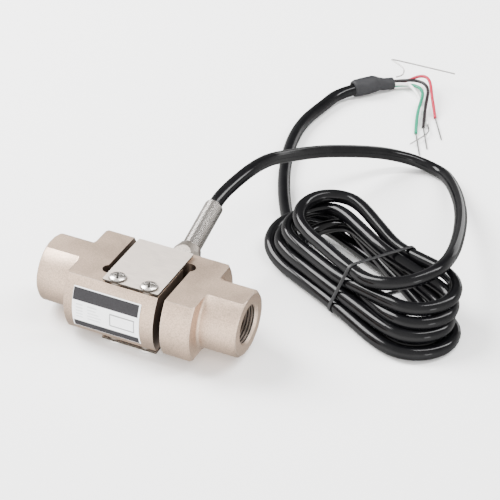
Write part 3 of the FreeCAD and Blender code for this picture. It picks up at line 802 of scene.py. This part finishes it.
# Section of the tie: along the hank, and out from the strands
TIE_PROFILE = [
    (-TIE_HALF, 0.1), (-TIE_HALF + 0.15, 0.0), (TIE_HALF - 0.15, 0.0), (TIE_HALF, 0.1),
    (TIE_HALF, TIE_THICKNESS - 0.2), (TIE_HALF - 0.25, TIE_THICKNESS),
    (-TIE_HALF + 0.25, TIE_THICKNESS), (-TIE_HALF, TIE_THICKNESS - 0.2),
]
band = []
for index, (shift, across, up) in enumerate(TIE_CORNERS):
    before = Vector(TIE_CORNERS[index - 1][1:])
    here = Vector((across, up))
    after = Vector(TIE_CORNERS[(index + 1) % len(TIE_CORNERS)][1:])
    start = math.atan2(*reversed(here - before)) - math.pi / 2
    stop = math.atan2(*reversed(after - here)) - math.pi / 2
    while stop < start:
        stop += 2 * math.pi
    for k in range(TIE_STEPS + 1):
        angle = start + (stop - start) * k / TIE_STEPS
        out = Vector((math.cos(angle), math.sin(angle)))
        band.append([on_hank(shift + along, *(here + out * (TIE_GAP + lift))) for along, lift in TIE_PROFILE])
tie = tube_piece("tie_strap", [band], STRAP, joined=True)
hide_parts("hank_tie")

# Pan heads of the upper cover screws, with tapered cross recesses
HEAD_RADIUS = 3.9
HEAD_RIM = 0.95
HEAD_HEIGHT = 1.95
HEAD_DOME = 2.6
HEAD_RINGS = 30
HEAD_POINTS = 120
CROSS_REACH = 2.7
CROSS_HALF = 0.55
CROSS_TAPER = 0.3
CROSS_WALL = 0.2
CROSS_END = 0.4
CROSS_DEPTH = 1.0
CROSS_SLOPE = 0.5
CROSS_TURN = math.radians(22.0)
DARK_SHARE = 0.3
DARK_RIM = 0.7


def ramp(value):
    """Smooth step from 0 to 1."""
    share = min(1.0, max(0.0, value))
    return share * share * (3 - 2 * share)


def in_cross(x, y):
    """Share of the recess at a place on the head, 0 outside it, and the depth there."""
    first = abs(x * math.cos(CROSS_TURN) + y * math.sin(CROSS_TURN))
    second = abs(y * math.cos(CROSS_TURN) - x * math.sin(CROSS_TURN))
    out = max(first, second)
    half = CROSS_HALF * (1 - CROSS_TAPER * out / CROSS_REACH)
    share = ramp((half - min(first, second)) / CROSS_WALL + 0.5) * ramp((CROSS_REACH - out) / CROSS_END)
    return share, CROSS_DEPTH * (1 - CROSS_SLOPE * out / CROSS_REACH)


screws = []
spokes = circle(HEAD_POINTS)
for side in (-1, 1):
    seat = Vector((side * SCREW_X, SCREW_Y, SCREW_SEAT))
    rings = []
    for step in range(1, HEAD_RINGS + 1):
        radius = HEAD_RADIUS * step / HEAD_RINGS
        dome = HEAD_RIM + (HEAD_HEIGHT - HEAD_RIM) * (1 - (radius / HEAD_RADIUS) ** HEAD_DOME)
        ring = []
        for cos, sin in spokes:
            share, depth = in_cross(radius * cos, radius * sin)
            ring.append(seat + Vector((radius * cos, radius * sin, dome - share * depth)))
        rings.append(ring)
    for radius, height in ((HEAD_RADIUS, 0.0), (SHANK_RADIUS, 0.0), (SHANK_RADIUS, -SHANK_LEN)):
        rings.append([seat + Vector((radius * cos, radius * sin, height)) for cos, sin in spokes])
    screws.append(rings)
heads = tube_piece("pan_screws", screws, SCREW_TOP)
# Painted shade: the cross recesses and the low rim of each head take the dark material
heads.data.materials.append(RECESS_SHADE)
for face in heads.data.polygons:
    place = face.center / MM
    share, depth = in_cross(place.x - math.copysign(SCREW_X, place.x), place.y - SCREW_Y)
    face.material_index = int(share > DARK_SHARE or place.z < SCREW_SEAT + DARK_RIM * HEAD_RIM)
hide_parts("top_cover_screws")

# Cut threads in the two end bores
THREAD_PITCH = 1.5
THREAD_ROOT = 10.0
THREAD_START = BAR_END + 1.2
THREAD_RUN = 21.5
THREAD_STEPS = 40
THREAD_MOUTH = BORE_RADIUS - 0.12
# Section of the cut: along the bore, and radius
THREAD_FORM = [(-0.58, THREAD_MOUTH), (-0.1, THREAD_ROOT), (0.1, THREAD_ROOT), (0.58, THREAD_MOUTH)]
for end, side in (("right", 1), ("left", -1)):
    coil = []
    for step in range(int(THREAD_RUN / THREAD_PITCH * THREAD_STEPS) + 1):
        angle = 2 * math.pi * step / THREAD_STEPS
        place = THREAD_START - THREAD_PITCH * step / THREAD_STEPS
        ring = []
        for shift, radius in THREAD_FORM:
            along = side * (place + shift)
            ring.append(Vector((along, radius * math.cos(angle), side * radius * math.sin(angle))))
        coil.append(ring)
    cutter = tube_piece("thread_form_" + end, [coil], BODY, smooth=False)
    cutter.hide_render = True
    cutter.hide_viewport = True
    cut = body.modifiers.new("thread", "BOOLEAN")
    cut.operation = "DIFFERENCE"
    cut.object = cutter
    cut.solver = "EXACT"

# Facts of the cords
length_of(cable)
for name, wire, mouth in core_cords:
    length_of(wire)
length_of(drain)

# Floor of plain paper, in metres, left out of reflections
FLOOR_HALF = 6
FLOOR_CORNERS = ((-1, -1), (1, -1), (1, 1), (-1, 1))
floor_mesh = bpy.data.meshes.new("floor")
floor_points = [(x * FLOOR_HALF, y * FLOOR_HALF, FLOOR * MM) for x, y in FLOOR_CORNERS]
floor_mesh.from_pydata(floor_points, [], [(0, 1, 2, 3)])
paper = Finish("paper", (0.97, 0.97, 0.97), roughness=0.9)
fibres = paper.noise(paper.where, scale=4.0)
paper.put("Base Color", paper.colours(fibres, (0.96, 0.96, 0.96), (0.98, 0.98, 0.98)))
floor_mesh.materials.append(paper.material)
floor = bpy.data.objects.new("floor", floor_mesh)
bpy.context.scene.collection.objects.link(floor)
floor.visible_glossy = False

# Soft light all round: brightest in front, dimmer behind, from below and from above
FRONT_LIGHT = 4.8
BACK_LIGHT = 0.45
RIGHT_LIGHT = 1.5
UNDER_SHARE = 0.35
OVER_SHARE = 0.5
SKY_COLOUR = (1.0, 0.99, 0.975, 1.0)
world = bpy.data.worlds.new("studio")
world.use_nodes = True
sky = Tree(world.node_tree)
compass = sky.split(sky.add("ShaderNodeTexCoord").outputs["Generated"])
front_to_back = sky.between(compass["Y"], -0.8, 0.8, FRONT_LIGHT, BACK_LIGHT)
right_side = sky.between(compass["X"], 0.1, 0.45, 0.0, RIGHT_LIGHT)
under = sky.between(compass["Z"], -0.9, -0.3, UNDER_SHARE, 1.0)
over = sky.between(compass["Z"], 0.05, 0.5, 1.0, OVER_SHARE)
strength = sky.times(sky.math("MAXIMUM", front_to_back, right_side), sky.times(under, over))
backdrop = world.node_tree.nodes["Background"]
sky.fill(backdrop.inputs["Strength"], strength)
sky.fill(backdrop.inputs["Color"], SKY_COLOUR)
bpy.context.scene.world = world


def softbox(name, place, target, width, height, power):
    """A rectangular lamp that faces a point; lengths in metres, power in watts."""
    light = bpy.data.lights.new(name, "AREA")
    light.shape = "RECTANGLE"
    light.size = width
    light.size_y = height
    light.energy = power
    lamp = bpy.data.objects.new(name, light)
    lamp.location = place
    lamp.rotation_mode = "QUATERNION"
    lamp.rotation_quaternion = (Vector(target) - Vector(place)).to_track_quat("-Z", "Y")
    bpy.context.scene.collection.objects.link(lamp)


softbox("left_panel", (-0.93, 0.13, 0.9), (0.07, 0.06, 0.0), width=0.65, height=0.8, power=54.0)
softbox("right_strip", (0.75, 0.65, 1.4), (0.03, 0.12, 0.0), width=0.3, height=1.6, power=42.0)
softbox("back_panel", (0.25, 1.6, 0.1), (0.08, 0.1, 0.05), width=0.9, height=0.6, power=4.0)
softbox("bore", (1.2, -0.6, 0.25), (0.05, 0.0, 0.0), width=0.35, height=0.35, power=4.0)

# Camera at the photograph's place, as fitted to the edges of the bar
SENSOR_WIDTH = 36.0
LENS = 150.17
CAMERA_PLACE = (0.3451, -0.7263, 0.5512)
CAMERA_RIGHT = (0.9125, 0.4061, 0.0495)
CAMERA_BACK = (0.3157, -0.7761, 0.5459)
camera_data = bpy.data.cameras.new("camera")
camera_data.sensor_width = SENSOR_WIDTH
camera_data.lens = LENS
camera = bpy.data.objects.new("camera", camera_data)
camera_back = Vector(CAMERA_BACK).normalized()
camera_up = camera_back.cross(Vector(CAMERA_RIGHT)).normalized()
camera_turn = Matrix((camera_up.cross(camera_back), camera_up, camera_back)).transposed()
camera.matrix_world = Matrix.Translation(CAMERA_PLACE) @ camera_turn.to_4x4()
bpy.context.scene.collection.objects.link(camera)
bpy.context.scene.camera = camera
